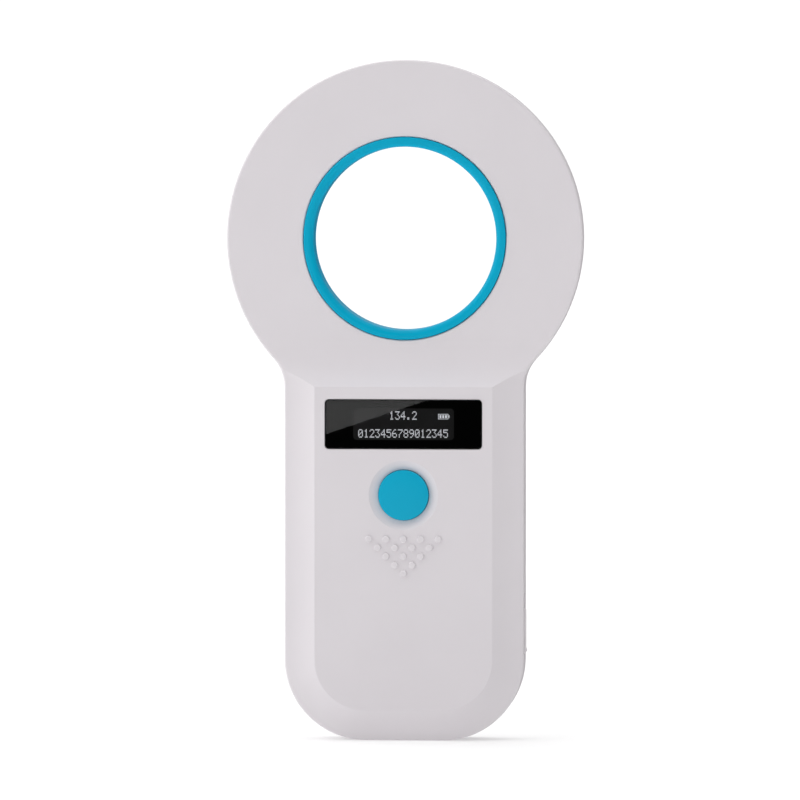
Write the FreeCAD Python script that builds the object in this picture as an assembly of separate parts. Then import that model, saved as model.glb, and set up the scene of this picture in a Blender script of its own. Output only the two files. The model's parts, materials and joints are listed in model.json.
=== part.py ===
"""Hand-held pet microchip reader: a ring-shaped head on a flat handle with a display and a push button.

Row frame in millimetres: +X to the reader's right as its user sees the display, -Y towards the user, +Z up.
The origin is the centre of the base, midway through the depth. Each sub-part is written to parts/NODE.step.
"""

import FreeCAD, Part  # noqa: E401
import math
import os

Vector = FreeCAD.Vector
X, Y, Z = Vector(1, 0, 0), Vector(0, 1, 0), Vector(0, 0, 1)
ORIGIN = Vector(0, 0, 0)

# ---------------------------------------------------------------- driving dimensions
# Outline, seen from the front
overall_height = 168.0
head_radius = 44.0
handle_width = 59.2
foot_radius = 20.0          # the two bottom corners
neck_radius = 9.5           # the hollow corner between head and handle

# Depth, from the button's crown at the front to the rear face
overall_depth = 15.0
button_proud = 0.6          # crown of the button above the front panel
head_drop = 4.2             # the head's front face lies this far behind the panel
bevel_drop = 2.6            # fall of the handle's side bevels
parting_from_rear = 5.0     # depth of the rear shell
wall = 1.8
front_edge_radius = 0.5
rear_edge_radius = 2.0

# Raised front panel of the handle
bevel_width = 7.6           # from the panel's edge to the handle's side
ramp_length = 11.0          # hollow ramp from the panel up to the head's face
bevel_edge_angle = 9.0      # slope of the bevel where it meets the side, degrees
panel_edge_radius = 0.4

# Ring through the head
ring_inner_radius = 22.6
ring_outer_radius = 25.0
ring_proud = 0.3            # front lip above the head's face
ring_rear_recess = 0.2
ring_lip_radius = 1.4
ring_gap = 0.12             # between the ring and the shells' holes
collar_wall = 1.7
collar_rib_reach = 1.3      # how far the ring's rib stands out, between the two shells' collars
collar_rib_width = 1.4
hole_edge_radius = 0.35

# Joint between the two shells
lip_wall = 0.8
lip_height = 1.2
lip_gap = 0.1
shadow_line = 0.3

# Display
lens_width = 38.8
lens_height = 12.2
lens_corner = 1.0
lens_thickness = 1.0
lens_chamfer = 0.25
lens_recess = 0.1
lens_gap = 0.1
lens_below_panel_top = 9.2  # panel's top edge down to the lens centre
mask_thickness = 0.1
window_width = 24.9
window_height = 7.8
window_corner = 0.9
glass_width = 28.0
glass_height = 10.0
glass_thickness = 1.4
glass_gap = 0.1
carrier_wall = 1.4
carrier_margin = 0.5        # carrier beyond the display glass on each side
ribbon_width = 12.0
ribbon_thickness = 0.12
ribbon_bend = 0.8
ribbon_drop = 1.8           # from the display glass down to the run back to the board
ribbon_tail = 1.4           # from that run down to the socket
ribbon_socket_height = 2.5
ribbon_socket_thickness = 1.2

# Push button
button_radius = 6.2
button_gap = 0.15
button_below_lens = 17.5    # lens centre down to the button's centre
button_crown = 0.35         # rise of the crown above its rim
button_edge_radius = 0.3
flange_reach = 1.1
flange_thickness = 0.8
flange_gap = 0.05
stem_radius = 1.6
dish_width = 2.2
dish_depth = 0.95
guide_wall = 1.0
guide_gap = 0.2
guide_height = 1.5

# Raised dots under the button
dot_radius = 0.85
dot_height = 0.5
dot_edge_radius = 0.25
dot_spacing_x = 4.28
dot_spacing_z = 2.14
dot_rows = 5
dots_below_button = 10.8    # button centre down to the top row

# Charging port, in the right-hand side
port_height = 27.0          # port centre above the base
socket_width = 7.5          # along Z
socket_depth = 2.5          # along Y
socket_length = 5.6         # along X
socket_skin = 0.3
socket_corner = 0.5
tongue_block = 0.8
tongue_thickness = 0.6
tongue_inset = 1.0
tongue_setback = 0.5        # tip behind the cover's stopper
socket_gap = 0.15
socket_setback = 0.2        # mouth behind the cover's recess
cover_width = 11.2          # along Z
cover_depth = 4.8           # along Y
cover_corner = 1.6
cover_gap = 0.15
cover_recess = 1.0
cover_proud = 0.35
cover_lift = 0.05           # cover's back above the recess floor
tab_height = 0.25           # pull ridge above the cover
tab_width = 0.9
tab_edge_share = 0.3        # rounding of the ridge, of its width
pad_edge_share = 0.8        # rounding of the pad's face, of how far it stands proud
stopper_length = 1.2
stopper_gap = 0.35          # stopper to socket, all round
strap_width = 3.0
strap_thickness = 0.8
strap_length = 3.6
strap_hinge = 1.0           # cover's top edge up to the fold
hinge_gap = 0.5             # from the fold's knuckle to the strap's fixed end
anchor_radius = 0.8
anchor_from_end = 1.2
barb_radius = 1.1
barb_length = 0.7
anchor_gap = 0.05

# Circuit board
board_thickness = 1.2
board_behind_panel = 7.5    # panel face back to the board's front face
board_side_gap = 1.0
board_bottom = 21.5
board_top_margin = 0.8      # beyond the lens
board_corner = 1.0
post_radius = 2.2
post_from_side = 6.2        # post centre in from the handle's side
post_heights = (41.0, 66.0)
processor_z = 43.0
crystal_z = 51.5
reader_from_edge = 12.8     # chip's centre in from the board's edge
reader_z = 45.0
charger_from_edge = 14.8
charger_z = 28.0
inductor_from_edge = 13.8
inductor_z = 37.0
capacitors = 4
capacitor_pitch = 3.0
capacitor_from_edge = 6.8   # first one's centre in from the board's edge
capacitor_z = 54.5
resistors = 9
resistor_pitch = 2.4
resistor_from_edge = 8.8
resistor_z = 32.5
board_screw_radius = 0.9
board_screw_length = 5.0
board_hole_gap = 0.2

# Switch under the button
switch_side = 6.0
switch_height = 3.3
switch_cover_thickness = 0.2
switch_bore_radius = 2.2
switch_bore_depth = 1.5
plunger_radius = 1.75
plunger_height = 0.8
plunger_flange_radius = 2.1
plunger_flange_thickness = 0.7
plunger_gap = 0.05
stem_gap = 0.22
dome_radius = 1.7
dome_rise = 0.3
dome_thickness = 0.1

# Shell screws
screw_radius = 1.0
screw_head_radius = 1.9
screw_head_height = 1.3
screw_length = 6.5
screw_fit = 0.02            # radial, in the plastic bosses
screw_clearance = 0.2       # radial, in the rear shell and round the head
pilot_past_tip = 0.3
counterbore_depth = 2.2
boss_radius = 2.7
boss_from_wall = 3.1        # screw centre in from the head's inner wall
head_boss_angles = (52.0, 128.0, 233.0, 307.0)
foot_boss_inset = 11.6      # from the handle's side to the foot screws
foot_boss_height = 16.0
drive_width = 0.5
drive_length = 2.2
drive_depth = 0.7

# Battery
cell_width = 30.0
cell_length = 40.0
cell_thickness = 3.4
cell_bottom = 24.0
cell_edge_radius = 1.2
pad_thickness = 0.2
pad_inset = 2.0
fence_gap = 0.4
fence_wall = 1.0
fence_height = 2.0
fence_opening = 9.0

# Plugs and sounder on the board's rear face
plug_width = 6.0
plug_height = 4.0
plug_thickness = 2.5
plug_gap = 0.05
plug_side_wall = 0.6
plug_roof = 0.4
plug_stands_out = 0.6
battery_lead_x = 11.0
battery_plug_above_cell = 9.5
antenna_plug_x = 3.0
antenna_plug_below_top = 5.7
lead_spacing = 2.0
lead_bend = 1.6
lead_straight = 2.2         # from the cell or a plug to the first bend
lead_end_gap = 0.1
sounder_x = -12.0
sounder_above_cell = 7.0
sounder_side = 9.0
sounder_height = 3.0
sounder_edge = 0.4
sounder_port_radius = 1.2
sounder_port_depth = 0.8

# Antenna
former_gap = 1.3            # shells' collar to former
former_wall = 1.2
flange_wall = 1.0
flange_rim = 1.0            # flange beyond the winding
coil_build = 5.2            # radial depth of the winding
coil_length = 3.0           # along Y
coil_tape = 0.1
foam_thickness = 1.2
lead_radius = 0.3

# Rear face
label_width = 32.0
label_height = 18.0
label_below_sound = 1.8     # label's top edge below the lowest sound hole
label_recess = 0.2
label_thickness = 0.15
label_corner = 1.5
label_gap = 0.2
sound_hole_radius = 0.6
sound_hole_circle = 2.2
sound_holes = 6

# ---------------------------------------------------------------- derived places
rear_y = overall_depth / 2
panel_y = -rear_y + button_proud
head_front_y = panel_y + head_drop
parting_y = rear_y - parting_from_rear
inner_rear_y = rear_y - wall
inner_panel_y = panel_y + wall
head_centre_z = overall_height - head_radius
half_width = handle_width / 2
inner_half_width = half_width - wall
foot_x = half_width - foot_radius
run_out = head_radius - half_width + 1     # straight reach of the bevel past the side, across the neck
neck = Vector(half_width + neck_radius, 0, 0)
neck.z = head_centre_z - math.sqrt((head_radius + neck_radius) ** 2 - neck.x ** 2)
panel_top_z = neck.z        # level with the start of the flare
ramp_top_z = panel_top_z + ramp_length

lens_z = panel_top_z - lens_below_panel_top
lens_y = panel_y + lens_recess
mask_y = lens_y + lens_thickness
glass_y = mask_y + mask_thickness
carrier_y = glass_y + glass_thickness
button_z = lens_z - button_below_lens

board_y = panel_y + board_behind_panel
board_rear_y = board_y + board_thickness
board_half_width = inner_half_width - board_side_gap
board_top = lens_z + lens_height / 2 + board_top_margin
reader_x = reader_from_edge - board_half_width
charger_x = board_half_width - charger_from_edge
inductor_x = board_half_width - inductor_from_edge
capacitor_x = capacitor_from_edge - board_half_width
resistor_x = resistor_from_edge - board_half_width
post_x = half_width - post_from_side

switch_y = board_y - switch_height
switch_top_y = switch_y - switch_cover_thickness
plunger_y = switch_top_y - plunger_height
flange_y = inner_panel_y + flange_gap

port_y = board_y - socket_depth / 2
recess_x = half_width - cover_recess
mouth_x = recess_x - socket_setback
cover_top_z = port_height + cover_width / 2
hinge_z = cover_top_z + strap_hinge
anchor_z = cover_top_z + strap_length - anchor_from_end
strap_back_x = recess_x + cover_lift
hinge_x = strap_back_x + strap_thickness / 2

seat_y = rear_y - counterbore_depth
boss_circle = head_radius - wall - boss_from_wall

bore_radius = ring_outer_radius + ring_gap
collar_radius = bore_radius + collar_wall
former_inner = collar_radius + former_gap
coil_inner = former_inner + former_wall
coil_outer = coil_inner + coil_build
former_outer = coil_outer + flange_rim
former_length = coil_length + 2 * flange_wall
former_front_y = inner_rear_y - foam_thickness - former_length

cell_y = inner_rear_y - pad_thickness - cell_thickness
cell_top = cell_bottom + cell_length
sounder_z = cell_top + sounder_above_cell
lowest_sound = sounder_z - sound_hole_circle - sound_hole_radius
label_z = lowest_sound - label_below_sound - label_height / 2
battery_plug_z = cell_top + battery_plug_above_cell
antenna_plug_z = board_top - antenna_plug_below_top


# ---------------------------------------------------------------- helpers
def box(x0, x1, y0, y1, z0, z1):
    """A block between two corners."""
    return Part.makeBox(x1 - x0, y1 - y0, z1 - z0, Vector(x0, y0, z0))


def peg(x, z, radius, y0, y1):
    """A cylinder along the depth."""
    return Part.makeCylinder(radius, y1 - y0, Vector(x, y0, z), Y)


def rod(radius, x0, x1, y, z):
    """A cylinder along X."""
    return Part.makeCylinder(radius, x1 - x0, Vector(x0, y, z), X)


def tube(x, z, inner, outer, y0, y1):
    """A tube along the depth."""
    return peg(x, z, outer, y0, y1).cut(peg(x, z, inner, y0, y1))


def head_tube(inner, outer, y0, y1):
    return tube(0, head_centre_z, inner, outer, y0, y1)


def line(p, q):
    return Part.LineSegment(p, q).toShape()


def arc(p, middle, q):
    return Part.Arc(p, middle, q).toShape()


def join(shapes):
    """One solid from overlapping or touching shapes, with the seams between its parts removed."""
    return shapes[0].multiFuse(shapes[1:]).removeSplitter()


def mirrored(shape):
    return shape.mirror(ORIGIN, X)


def moved(shape, x, y, z):
    copy = shape.copy()
    copy.translate(Vector(x, y, z))
    return copy


def edges_where(shape, test):
    return [e for e in shape.Edges if test(e)]


def at_depth(edge, y):
    """True for an edge that lies wholly at one depth."""
    return abs(edge.BoundBox.YMin - y) < 1e-3 and abs(edge.BoundBox.YMax - y) < 1e-3


def rounded_plate(width, height, corner, x, z, y0, y1):
    """A plate across the depth with round corners, centred on (x, z)."""
    plate = box(x - width / 2, x + width / 2, y0, y1, z - height / 2, z + height / 2)
    corners = edges_where(plate, lambda e: not at_depth(e, y0) and not at_depth(e, y1))
    return plate.makeFillet(corner, corners)


def rounded_side_plate(depth, height, corner, y, z, x0, x1):
    """A plate across X with round corners, centred on (y, z)."""
    plate = rounded_plate(depth, height, corner, 0, 0, x0, x1)
    plate.rotate(ORIGIN, Z, -90)
    return moved(plate, 0, y, z)


def turned(points, x, z):
    """Turns a closed profile of (radius, y) points about the depth axis through (x, z)."""
    corners = [Vector(r, y, 0) for r, y in points]
    face = Part.Face(Part.makePolygon(corners + corners[:1]))
    return moved(face.revolve(ORIGIN, Y, 360), x, 0, z)


def polar(angle, radius):
    """(x, z) on a circle about the head's centre, with the angle in degrees from +X."""
    turn = math.radians(angle)
    return radius * math.cos(turn), head_centre_z + radius * math.sin(turn)


def hollow_arc(p, q, end_angle):
    """A sagging arc in the XY plane from p to q that arrives at q with the given slope in degrees."""
    chord = q - p
    half_turn = math.atan2(chord.y, chord.x) - math.radians(end_angle)
    sag = chord.Length / 2 * math.tan(half_turn / 2)
    across = Vector(-chord.y, chord.x, 0).normalize()
    return arc(p, (p + q) / 2 + across * sag, q)


def start_slope(run, drop, end_angle):
    """Slope in degrees at the start of a hollow arc with that run and drop."""
    return 2 * math.degrees(math.atan2(drop, run)) - end_angle


def bent_path(points, radius):
    """A wire of straight runs joined by tangent arcs of one radius."""
    edges, at = [], points[0]
    for before, corner, after in zip(points, points[1:], points[2:]):
        a = (before - corner).normalize()
        b = (after - corner).normalize()
        half = a.getAngle(b) / 2
        reach = radius / math.tan(half)
        middle = corner + (a + b).normalize() * (radius / math.sin(half) - radius)
        edges += [line(at, corner + a * reach), arc(corner + a * reach, middle, corner + b * reach)]
        at = corner + b * reach
    return Part.Wire(edges + [line(at, points[-1])])


def lead(points, bend):
    """A round insulated lead along a path of straight runs and arcs."""
    corners = [Vector(*p) for p in points]
    section = Part.Wire(Part.makeCircle(lead_radius, corners[0], corners[1] - corners[0]))
    return bent_path(corners, bend).makePipeShell([section], True, False)


parts = {}


def add(name, *solids):
    parts[name] = solids[0] if len(solids) == 1 else Part.makeCompound(solids)


# ---------------------------------------------------------------- body shape shared by both shells
def outline(inset):
    """The body's outline in the XZ plane, moved in by inset."""
    r, w, foot, hollow = head_radius - inset, half_width - inset, foot_radius - inset, neck_radius + inset
    top = Vector(0, 0, head_centre_z + r)
    towards_head = (Vector(0, 0, head_centre_z) - neck).normalize()
    on_head = neck + towards_head * hollow
    on_side = Vector(w, 0, neck.z)
    bend = (math.atan2(towards_head.z, towards_head.x) + math.pi) / 2
    in_neck = neck + Vector(math.cos(bend), 0, math.sin(bend)) * hollow
    side_low = Vector(w, 0, foot_radius)
    diagonal = foot / math.sqrt(2)
    in_foot = Vector(foot_x + diagonal, 0, foot_radius - diagonal)
    base = Vector(foot_x, 0, inset)
    right = [
        arc(on_side, in_neck, on_head),
        line(side_low, on_side),
        arc(base, in_foot, side_low),
    ]
    left = [mirrored(e) for e in right]
    crown = arc(on_head, top, Vector(-on_head.x, 0, on_head.z))
    bottom = line(Vector(-base.x, 0, inset), base)
    return Part.Face(Part.Wire(Part.__sortEdges__(right + left + [crown, bottom])))


def slab(inset, y0, y1):
    """The outline as a plate between two depths."""
    return moved(outline(inset).extrude(Y * (y1 - y0)), 0, y0, 0)


def bevel_face(inset):
    """Half of the handle's section outwards from a foot corner's axis: panel, hollow bevel, run-out."""
    face = panel_y + inset
    slope = math.radians(bevel_edge_angle)
    start = math.radians(start_slope(bevel_width, bevel_drop, bevel_edge_angle))
    p0 = Vector(foot_radius - bevel_width - inset * math.tan(start / 2), face, 0)
    p1 = Vector(foot_radius - inset * math.tan(slope), face + bevel_drop, 0)
    out = p1 + Vector(math.cos(slope), math.sin(slope), 0) * run_out
    back, axis = Vector(out.x, parting_y, 0), Vector(0, parting_y, 0)
    front = Vector(0, face, 0)
    return Part.Face(Part.Wire([
        line(axis, back),
        line(back, out),
        line(out, p1),
        hollow_arc(p0, p1, bevel_edge_angle),
        line(p0, front),
        line(front, axis),
    ]))


def bevelled(inset):
    """The handle's bevels along its sides and round the foot, as a block that runs out past the outline."""
    section = bevel_face(inset)
    column = moved(section.extrude(Z * (ramp_top_z - foot_radius)), foot_x, 0, foot_radius)
    corner = moved(section.revolve(ORIGIN, Y, 90), foot_x, 0, foot_radius)
    turned = section.copy()
    turned.rotate(ORIGIN, Y, 90)
    foot = moved(turned.extrude(X * (2 * foot_x)), -foot_x, 0, foot_radius)
    middle = box(-foot_x, foot_x, panel_y + inset, parting_y, foot_radius, ramp_top_z)
    head = box(-head_radius, head_radius, panel_y + inset, parting_y, ramp_top_z, overall_height)
    return join([middle, column, mirrored(column), corner, mirrored(corner), foot, head])


def ramped(inset):
    """The panel's face, the hollow ramp down from it, and the head's face, across the whole width."""
    slope = math.radians(start_slope(ramp_length, head_drop, 0))
    face, head = panel_y + inset, head_front_y + inset
    low = Vector(-1, parting_y, 0)
    top = Vector(overall_height + 1, parting_y, 0)
    panel_start = Vector(-1, face, 0)
    panel_end = Vector(panel_top_z - inset * math.tan(slope / 2), face, 0)
    ramp_end = Vector(ramp_top_z, head, 0)
    head_end = Vector(top.x, head, 0)
    profile = Part.Face(Part.Wire([
        line(low, panel_start),
        line(panel_start, panel_end),
        hollow_arc(panel_end, ramp_end, 0),
        line(ramp_end, head_end),
        line(head_end, top),
        line(top, low),
    ]))
    profile.rotate(ORIGIN, Y, -90)
    return moved(profile.extrude(X * (2 * head_radius)), -head_radius, 0, 0)


def form(inset):
    """The front shell's space: the outline, cut back to the bevels, the ramp and the faces."""
    return slab(inset, panel_y + inset, parting_y).common(bevelled(inset)).common(ramped(inset))


def round_edge(edge, radius, y):
    """True for the head's round edge of that radius at that depth."""
    return at_depth(edge, y) and abs(edge.BoundBox.XLength - 2 * radius) < 0.1


def on_outline(edge):
    """True for an edge that runs along the body's outer side, in front of the parting plane."""
    rim, start, length = outline(0).OuterWire, edge.FirstParameter, edge.LastParameter - edge.FirstParameter
    samples = [edge.valueAt(start + share * length) for share in (0.1, 0.5, 0.9)]
    along = all(rim.distToShape(Part.Vertex(Vector(p.x, 0, p.z)))[0] < 1e-3 for p in samples)
    upright = abs(edge.tangentAt(edge.FirstParameter).y) > 0.99
    return along and not upright and edge.BoundBox.YMax < parting_y - 1e-3


# ---------------------------------------------------------------- shells
def screw_places():
    """(x, z, front limit) of each shell screw: four round the head and two in the foot."""
    head = [(*polar(a, boss_circle), head_front_y) for a in head_boss_angles]
    foot_screw_x = half_width - foot_boss_inset
    return head + [(side * foot_screw_x, foot_boss_height, panel_y) for side in (-1, 1)]


def post_places():
    return [(side * post_x, z) for side in (-1, 1) for z in post_heights]


def dot_places():
    """A triangle of dots that points down: five in the top row and one in the bottom row."""
    top = button_z - dots_below_button
    return [
        ((i - (count - 1) / 2) * dot_spacing_x, top - (dot_rows - count) * dot_spacing_z)
        for count in range(dot_rows, 0, -1)
        for i in range(count)
    ]


def button_dish():
    """The hollow round the button, and its through hole."""
    inner, outer = button_radius + button_gap, button_radius + button_gap + dish_width
    a, b = Vector(outer, panel_y, 0), Vector(inner, panel_y + dish_depth, 0)
    middle = (a + b) / 2 + Vector(-1, 1, 0) * (dish_depth / 8)
    above = panel_y - 1
    profile = Part.Wire([
        arc(a, middle, b),
        line(b, Vector(0, b.y, 0)),
        line(Vector(0, b.y, 0), Vector(0, above, 0)),
        line(Vector(0, above, 0), Vector(outer, above, 0)),
        line(Vector(outer, above, 0), a),
    ])
    hollow = moved(Part.Face(profile).revolve(ORIGIN, Y, 360), 0, 0, button_z)
    return [hollow, peg(0, button_z, inner, panel_y, board_y)]


def dot(x, z):
    """A raised dot with a rounded rim, rooted in the front wall."""
    top = panel_y - dot_height
    stud = peg(x, z, dot_radius, top, panel_y + wall / 2)
    return stud.makeFillet(dot_edge_radius, edges_where(stud, lambda e: at_depth(e, top)))


def port_cuts():
    """The cover's recess, the strap's channel, and the holes for the socket and the strap's anchor."""
    inside, outside = inner_half_width - barb_length, half_width + 1
    recess = rounded_side_plate(
        cover_depth + 2 * cover_gap, cover_width + 2 * cover_gap, cover_corner + cover_gap,
        port_y, port_height, recess_x, outside)
    half_strap = strap_width / 2 + cover_gap
    channel = box(recess_x, outside, port_y - half_strap, port_y + half_strap,
                  port_height, cover_top_z + strap_length + cover_gap)
    half_depth, half_height = socket_depth / 2 + socket_gap, socket_width / 2 + socket_gap
    mouth = box(inside, outside, port_y - half_depth, port_y + half_depth,
                port_height - half_height, port_height + half_height)
    hole = rod(anchor_radius + anchor_gap, inside, outside, port_y, anchor_z)
    return [recess, channel, mouth, hole]


def lip(outer_inset, inner_inset, height):
    """A tongue round the parting line, between two insets of the outline."""
    return slab(outer_inset, parting_y - wall, parting_y + height).cut(
        slab(inner_inset, parting_y - wall, parting_y + height))


def front_shell():
    skin = form(0)
    skin = skin.makeFillet(front_edge_radius, edges_where(skin, on_outline))
    skin = skin.makeFillet(panel_edge_radius, edges_where(skin, lambda e: at_depth(e, panel_y)))
    skin = skin.cut(peg(0, head_centre_z, bore_radius, head_front_y - 1, parting_y))
    hole_edge = edges_where(skin, lambda e: round_edge(e, bore_radius, head_front_y))
    skin = skin.makeFillet(hole_edge_radius, hole_edge)
    shell = skin.cut(form(wall))

    boss = [peg(x, z, boss_radius, front, parting_y) for x, z, front in screw_places()]
    post = [peg(x, z, post_radius, panel_y, board_y) for x, z in post_places()]
    collar_end = parting_y - collar_rib_width / 2
    collar = head_tube(bore_radius, collar_radius, head_front_y + wall / 2, collar_end)
    guide_inner = button_radius + flange_reach + guide_gap
    guide = tube(0, button_z, guide_inner, guide_inner + guide_wall, panel_y, inner_panel_y + guide_height)
    seat = head_tube(former_inner, coil_inner, head_front_y + wall / 2, former_front_y)
    fittings = join(boss + post + [guide, seat]).common(form(wall / 2))

    pilot_end = seat_y - screw_length - pilot_past_tip
    pilots = [peg(x, z, screw_radius + screw_fit, pilot_end, parting_y) for x, z, front in screw_places()]
    post_end = board_rear_y - board_screw_length - pilot_past_tip
    pilots += [peg(x, z, board_screw_radius + screw_fit, post_end, board_y) for x, z in post_places()]
    pocket = rounded_plate(
        lens_width + 2 * lens_gap, lens_height + 2 * lens_gap, lens_corner + lens_gap,
        0, lens_z, panel_y - 1, glass_y)
    opening = rounded_plate(
        glass_width + 2 * glass_gap, glass_height + 2 * glass_gap, glass_gap, 0, lens_z, glass_y, carrier_y)

    shell = join([shell, fittings, collar, lip(wall - lip_wall, wall, lip_height)])
    shell = shell.cut(pilots)
    shell = shell.cut([pocket, opening] + button_dish() + port_cuts())
    return join([shell] + [dot(x, z) for x, z in dot_places()])


def rear_shell():
    skin = slab(0, parting_y, rear_y)
    skin = skin.makeFillet(rear_edge_radius, edges_where(skin, lambda e: at_depth(e, rear_y)))
    shell = skin.cut(slab(wall, parting_y, inner_rear_y))
    boss = [peg(x, z, boss_radius, parting_y, rear_y) for x, z, front in screw_places()]
    collar = head_tube(bore_radius, collar_radius, parting_y + collar_rib_width / 2, rear_y)
    gap, reach = fence_gap, fence_gap + fence_wall
    half, middle = cell_width / 2, (cell_bottom + cell_top) / 2
    fence = box(-half - reach, half + reach, inner_rear_y - fence_height, inner_rear_y,
                cell_bottom - reach, cell_top + reach)
    room = box(-half - gap, half + gap, parting_y, inner_rear_y, cell_bottom - gap, cell_top + gap)
    gateway = box(battery_lead_x - fence_opening / 2, battery_lead_x + fence_opening / 2,
                  parting_y, inner_rear_y, middle, cell_top + reach)
    fence = fence.cut([room, gateway])
    shell = join([shell, fence, collar] + boss)
    shadow_end, groove_end = parting_y + shadow_line, parting_y + lip_height + lip_gap
    shadow = slab(0, parting_y, shadow_end).cut(slab(shadow_line, parting_y, shadow_end))
    groove = slab(wall - lip_wall - lip_gap, parting_y, groove_end).cut(slab(wall, parting_y, groove_end))
    head_room = screw_head_radius + screw_clearance
    bores = [peg(x, z, screw_radius + screw_clearance, parting_y, rear_y) for x, z, front in screw_places()]
    bores += [peg(x, z, head_room, seat_y, rear_y) for x, z, front in screw_places()]
    sound = [peg(sounder_x, sounder_z, sound_hole_radius, inner_rear_y, rear_y)]
    for i in range(sound_holes):
        turn = 2 * math.pi * i / sound_holes
        x = sounder_x + sound_hole_circle * math.cos(turn)
        z = sounder_z + sound_hole_circle * math.sin(turn)
        sound.append(peg(x, z, sound_hole_radius, inner_rear_y, rear_y))
    label_floor = rear_y - label_recess
    label = rounded_plate(label_width, label_height, label_corner, 0, label_z, label_floor, rear_y)
    hole = peg(0, head_centre_z, bore_radius, parting_y, rear_y)
    return shell.cut([hole, shadow, groove, label] + bores + sound)


add("front_shell", front_shell())
add("rear_shell", rear_shell())


# ---------------------------------------------------------------- antenna in the head
def antenna_ring():
    """Sleeve through the head with rounded inner lips, held by a rib between the two shells' collars."""
    front, rear = head_front_y - ring_proud, rear_y - ring_rear_recess
    sleeve = head_tube(ring_inner_radius, ring_outer_radius, front, rear)
    lips = [e for y in (front, rear) for e in sleeve.Edges if round_edge(e, ring_inner_radius, y)]
    sleeve = sleeve.makeFillet(ring_lip_radius, lips)
    rim = edges_where(sleeve, lambda e: round_edge(e, ring_outer_radius, front))
    sleeve = sleeve.makeFillet(ring_proud, rim)
    rib = head_tube(ring_inner_radius + ring_lip_radius, ring_outer_radius + collar_rib_reach,
                    parting_y - collar_rib_width / 2, parting_y + collar_rib_width / 2)
    return join([sleeve, rib])


def antenna_former():
    """Bobbin: a tube with a flange at each end."""
    rear = former_front_y + former_length
    flanges = [
        head_tube(former_inner, former_outer, former_front_y, former_front_y + flange_wall),
        head_tube(former_inner, former_outer, rear - flange_wall, rear),
    ]
    return join([head_tube(former_inner, coil_inner, former_front_y, rear)] + flanges)


winding_y = former_front_y + flange_wall
former_rear_y = former_front_y + former_length
add("antenna_ring", antenna_ring())
add("antenna_former", antenna_former())
add("antenna_winding", head_tube(coil_inner, coil_outer, winding_y, winding_y + coil_length))
add("winding_tape", head_tube(coil_outer, coil_outer + coil_tape, winding_y, winding_y + coil_length))
add("antenna_foam", head_tube(former_inner, former_outer, former_rear_y, inner_rear_y))

# ---------------------------------------------------------------- circuit board
def main_board():
    height = board_top - board_bottom
    plate = rounded_plate(2 * board_half_width, height, board_corner, 0, board_bottom + height / 2,
                          board_y, board_rear_y)
    hole = board_screw_radius + board_hole_gap
    return plate.cut([peg(x, z, hole, board_y, board_rear_y) for x, z in post_places()])


def screw(x, z, radius, length, seat, head_radius_, head_height):
    """Pan-head screw that points forwards, its head's underside at the seat, with a cross recess."""
    head = peg(x, z, head_radius_, seat, seat + head_height)
    head = head.makeFillet(head_height / 3, edges_where(head, lambda e: at_depth(e, seat + head_height)))
    top, half, wide = seat + head_height, drive_length / 2, drive_width / 2
    cross = [
        box(x - half, x + half, top - drive_depth, top, z - wide, z + wide),
        box(x - wide, x + wide, top - drive_depth, top, z - half, z + half),
    ]
    shank = peg(x, z, radius, seat - length, seat)
    shank = shank.makeChamfer(radius / 2, edges_where(shank, lambda e: at_depth(e, seat - length)))
    return join([head, shank]).cut(cross)


def front_block_part(x, z, width, height, thickness):
    """A component's body on the board's front face."""
    return box(x - width / 2, x + width / 2, board_y - thickness, board_y, z - height / 2, z + height / 2)


def rear_block_part(x, z, width, height, thickness):
    """A component's body on the board's rear face."""
    top = board_rear_y + thickness
    return box(x - width / 2, x + width / 2, board_rear_y, top, z - height / 2, z + height / 2)


def chip(x, z, width, height, thickness, legs, pitch, four_sides=False):
    """Moulded package on the board's front face, its bent legs on two or four sides, as separate solids."""
    lift, reach, toe, leg_width, leg_thickness, body_edge = 0.1, 0.8, 0.3, 0.32, 0.15, 0.15
    top = board_y - lift - thickness
    body = box(x - width / 2, x + width / 2, top, board_y - lift, z - height / 2, z + height / 2)
    body = body.makeFillet(body_edge, edges_where(body, lambda e: at_depth(e, top)))
    shoulder = board_y - lift - thickness / 2
    half, shin = leg_width / 2, reach - leg_thickness
    arm = box(0, reach, shoulder - leg_thickness, shoulder, -half, half)
    drop = box(shin, reach, shoulder, board_y, -half, half)
    foot = box(shin, reach + toe, board_y - leg_thickness, board_y, -half, half)
    leg = join([arm, drop, foot])
    solids = [body]
    for quarter in range(0, 4, 1 if four_sides else 2):
        side = width / 2 if quarter % 2 == 0 else height / 2
        for i in range(legs):
            one = moved(leg, side, 0, (i - (legs - 1) / 2) * pitch)
            one.rotate(ORIGIN, Y, 90 * quarter)
            solids.append(moved(one, x, 0, z))
    return solids


board_screws = [
    screw(x, z, board_screw_radius, board_screw_length, board_rear_y, screw_head_radius, screw_head_height)
    for x, z in post_places()
]
case_screws = [
    screw(x, z, screw_radius, screw_length, seat_y, screw_head_radius, screw_head_height)
    for x, z, front in screw_places()
]
add("main_board", main_board())
add("board_screws", *board_screws)
add("case_screws", *case_screws)
add("processor_chip", *chip(0, processor_z, 7.0, 7.0, 1.2, 8, 0.8, four_sides=True))
add("reader_chip", *chip(reader_x, reader_z, 3.9, 8.7, 1.4, 7, 1.2))
add("charger_chip", *chip(charger_x, charger_z, 3.9, 4.9, 1.4, 4, 1.2))
add("clock_crystal", front_block_part(0, crystal_z, 5.0, 3.2, 1.1))
add("charger_inductor", front_block_part(inductor_x, inductor_z, 5.0, 5.0, 2.4))
add("tuning_capacitors", *[
    front_block_part(capacitor_x + capacitor_pitch * i, capacitor_z, 1.6, 3.2, 1.2)
    for i in range(capacitors)])
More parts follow.
